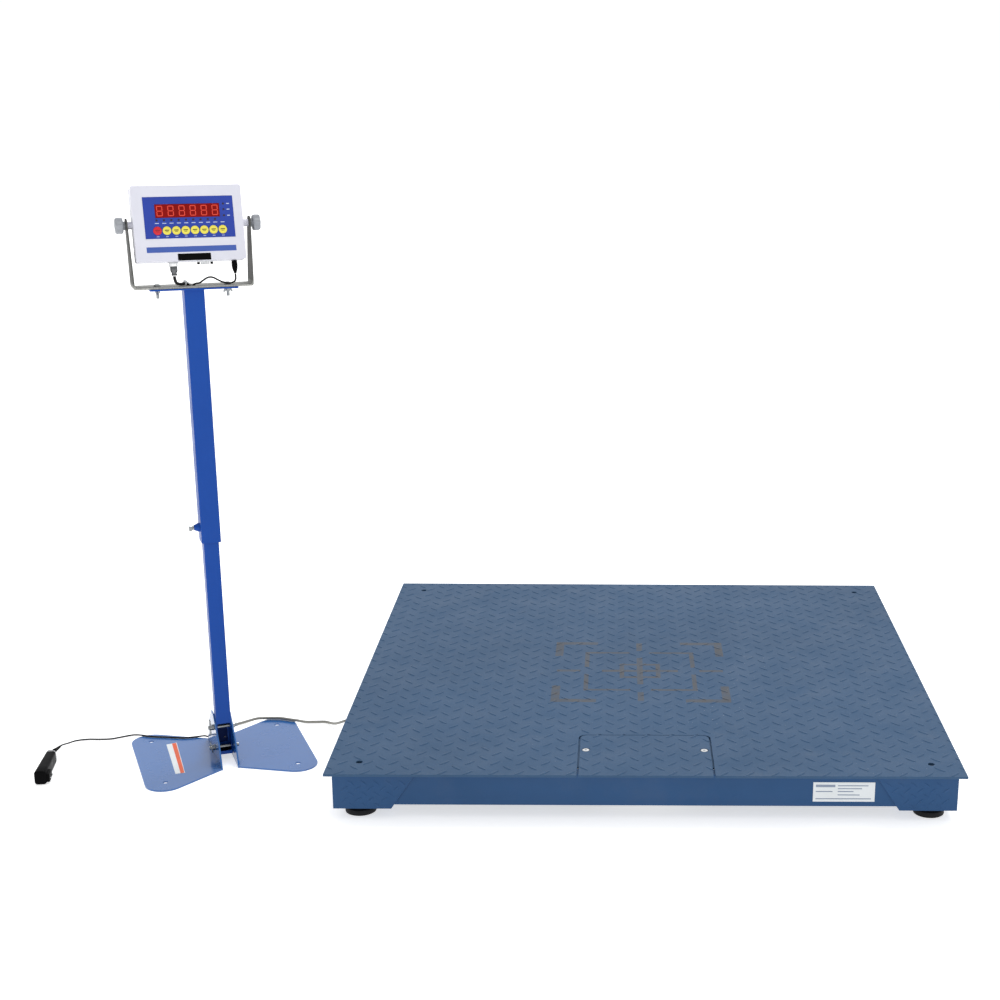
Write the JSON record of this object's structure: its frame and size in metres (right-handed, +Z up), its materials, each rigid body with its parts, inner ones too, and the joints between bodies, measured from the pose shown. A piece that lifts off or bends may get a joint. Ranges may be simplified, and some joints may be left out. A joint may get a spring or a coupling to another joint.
{
  "type": "platform shipping scale",
  "caption": "Low square tread-plate weighing platform on levelling feet, with a tilting digital indicator on a telescoping floor stand beside it.",
  "frame": {"origin": "middle of the footprint of the platform and its stand together, at floor level", "axes": "+X to the right along the platform's front edge, +Y to the rear, away from the edge with the access cover, +Z up"},
  "size_m": [1.8381, 1.2192, 1.1626],
  "materials": {
    "deck_blue_paint": "semi-gloss paint on tread plate",
    "frame_blue_paint": "semi-gloss paint",
    "stand_blue_paint": "gloss powder coat",
    "bracket_steel": "brushed",
    "zinc_steel": "zinc plated",
    "cell_steel": "nickel plated",
    "foot_rubber": "matte",
    "housing_paint": "smooth white powder coat",
    "keypad_film": "satin film",
    "display_lens": "clear red filter",
    "red_key": "satin film",
    "yellow_key": "satin film",
    "knob_plastic": "fine texture",
    "circuit_board": "lacquered board",
    "junction_plastic": "moulded",
    "black_plastic": "moulded",
    "grey_cable": "cable sheath",
    "black_cable": "cable sheath"
  },
  "bodies": {
    "platform_and_base": {"deck_plate": "deck_blue_paint", "junction_cover": "deck_blue_paint", "cover_screw_left": "zinc_steel", "cover_screw_right": "zinc_steel", "front_beam": "frame_blue_paint", "rear_beam": "frame_blue_paint", "left_beam": "frame_blue_paint", "right_beam": "frame_blue_paint", "inner_rib_left": "frame_blue_paint", "inner_rib_right": "frame_blue_paint", "pod_front_left": "frame_blue_paint", "load_cell_front_left": "cell_steel", "pod_front_right": "frame_blue_paint", "load_cell_front_right": "cell_steel", "pod_rear_left": "frame_blue_paint", "load_cell_rear_left": "cell_steel", "pod_rear_right": "frame_blue_paint", "load_cell_rear_right": "cell_steel", "junction_box": "junction_plastic", "platform_gland": "black_plastic", "cell_harness": "grey_cable", "load_cable_lower": "grey_cable", "dc_lead_lower": "black_cable", "left_foot_plate": "stand_blue_paint", "right_foot_plate": "stand_blue_paint", "lower_tube": "stand_blue_paint", "base_bolt_upper": "zinc_steel", "base_bolt_lower": "zinc_steel", "power_adapter": "black_plastic"},
    "foot_front_left": {"foot_front_left": "foot_rubber"},
    "foot_front_right": {"foot_front_right": "foot_rubber"},
    "foot_rear_left": {"foot_rear_left": "foot_rubber"},
    "foot_rear_right": {"foot_rear_right": "foot_rubber"},
    "mast": {"upper_tube": "stand_blue_paint", "mount_plate": "stand_blue_paint", "u_bracket": "bracket_steel", "bracket_bolt_left": "zinc_steel", "bracket_bolt_right": "zinc_steel", "load_cable_upper": "black_cable", "dc_lead_upper": "black_cable"},
    "height_lock_screw": {"height_lock_screw": "zinc_steel"},
    "bracket_wing_nut_left": {"bracket_wing_nut_left": "zinc_steel"},
    "bracket_wing_nut_right": {"bracket_wing_nut_right": "zinc_steel"},
    "indicator": {"housing_front": "housing_paint", "housing_rear": "housing_paint", "keypad_panel": "keypad_film", "display_window": "display_lens", "main_board": "circuit_board", "load_cell_plug": "zinc_steel", "dc_plug": "black_plastic"},
    "tilt_knob_left": {"tilt_knob_left": "knob_plastic"},
    "tilt_knob_right": {"tilt_knob_right": "knob_plastic"},
    "key_1": {"key_1": "red_key"},
    "key_2": {"key_2": "yellow_key"},
    "key_3": {"key_3": "yellow_key"},
    "key_4": {"key_4": "yellow_key"},
    "key_5": {"key_5": "yellow_key"},
    "key_6": {"key_6": "yellow_key"},
    "key_7": {"key_7": "yellow_key"},
    "key_8": {"key_8": "yellow_key"}
  },
  "joints": [
    {"name": "foot_front_left_height", "type": "slide", "parent": "platform_and_base", "child": "foot_front_left", "axis": [0, 0, 1], "range_m": [-0.01, 0.004]},
    {"name": "foot_front_right_height", "type": "slide", "parent": "platform_and_base", "child": "foot_front_right", "axis": [0, 0, 1], "range_m": [-0.01, 0.004]},
    {"name": "foot_rear_left_height", "type": "slide", "parent": "platform_and_base", "child": "foot_rear_left", "axis": [0, 0, 1], "range_m": [-0.01, 0.004]},
    {"name": "foot_rear_right_height", "type": "slide", "parent": "platform_and_base", "child": "foot_rear_right", "axis": [0, 0, 1], "range_m": [-0.01, 0.004]},
    {"name": "mast_height", "type": "slide", "parent": "platform_and_base", "child": "mast", "axis": [0, 0, 1], "range_m": [-0.2, 0.19]},
    {"name": "height_lock_screw_turn", "type": "hinge", "parent": "mast", "child": "height_lock_screw", "pos_m": [-0.66183, -0.30524, 0.497], "axis": [0.9272, 0.3746, 0], "range_deg": [-180, 180]},
    {"name": "bracket_wing_nut_left_turn", "type": "hinge", "parent": "mast", "child": "bracket_wing_nut_left", "pos_m": [-0.69521, -0.31872, 0.965], "axis": [0, 0, 1], "range_deg": [-180, 180]},
    {"name": "bracket_wing_nut_right_turn", "type": "hinge", "parent": "mast", "child": "bracket_wing_nut_right", "pos_m": [-0.57282, -0.26928, 0.965], "axis": [0, 0, 1], "range_deg": [-180, 180]},
    {"name": "indicator_tilt", "type": "hinge", "parent": "mast", "child": "indicator", "pos_m": [-0.63401, -0.294, 1.0895], "axis": [-0.9272, -0.3746, 0], "range_deg": [-20, 35]},
    {"name": "tilt_knob_left_turn", "type": "hinge", "parent": "indicator", "child": "tilt_knob_left", "pos_m": [-0.74991, -0.34083, 1.0895], "axis": [0.9272, 0.3746, 0], "range_deg": [-180, 180]},
    {"name": "tilt_knob_right_turn", "type": "hinge", "parent": "indicator", "child": "tilt_knob_right", "pos_m": [-0.51812, -0.24717, 1.0895], "axis": [0.9272, 0.3746, 0], "range_deg": [-180, 180]},
    {"name": "key_1_press", "type": "slide", "parent": "indicator", "child": "key_1", "axis": [-0.3677, 0.9101, -0.1908], "range_m": [0, 0.0006], "stiffness_N_per_m": 1500},
    {"name": "key_2_press", "type": "slide", "parent": "indicator", "child": "key_2", "axis": [-0.3677, 0.9101, -0.1908], "range_m": [0, 0.0006], "stiffness_N_per_m": 1500},
    {"name": "key_3_press", "type": "slide", "parent": "indicator", "child": "key_3", "axis": [-0.3677, 0.9101, -0.1908], "range_m": [0, 0.0006], "stiffness_N_per_m": 1500},
    {"name": "key_4_press", "type": "slide", "parent": "indicator", "child": "key_4", "axis": [-0.3677, 0.9101, -0.1908], "range_m": [0, 0.0006], "stiffness_N_per_m": 1500},
    {"name": "key_5_press", "type": "slide", "parent": "indicator", "child": "key_5", "axis": [-0.3677, 0.9101, -0.1908], "range_m": [0, 0.0006], "stiffness_N_per_m": 1500},
    {"name": "key_6_press", "type": "slide", "parent": "indicator", "child": "key_6", "axis": [-0.3677, 0.9101, -0.1908], "range_m": [0, 0.0006], "stiffness_N_per_m": 1500},
    {"name": "key_7_press", "type": "slide", "parent": "indicator", "child": "key_7", "axis": [-0.3677, 0.9101, -0.1908], "range_m": [0, 0.0006], "stiffness_N_per_m": 1500},
    {"name": "key_8_press", "type": "slide", "parent": "indicator", "child": "key_8", "axis": [-0.3677, 0.9101, -0.1908], "range_m": [0, 0.0006], "stiffness_N_per_m": 1500}
  ]
}
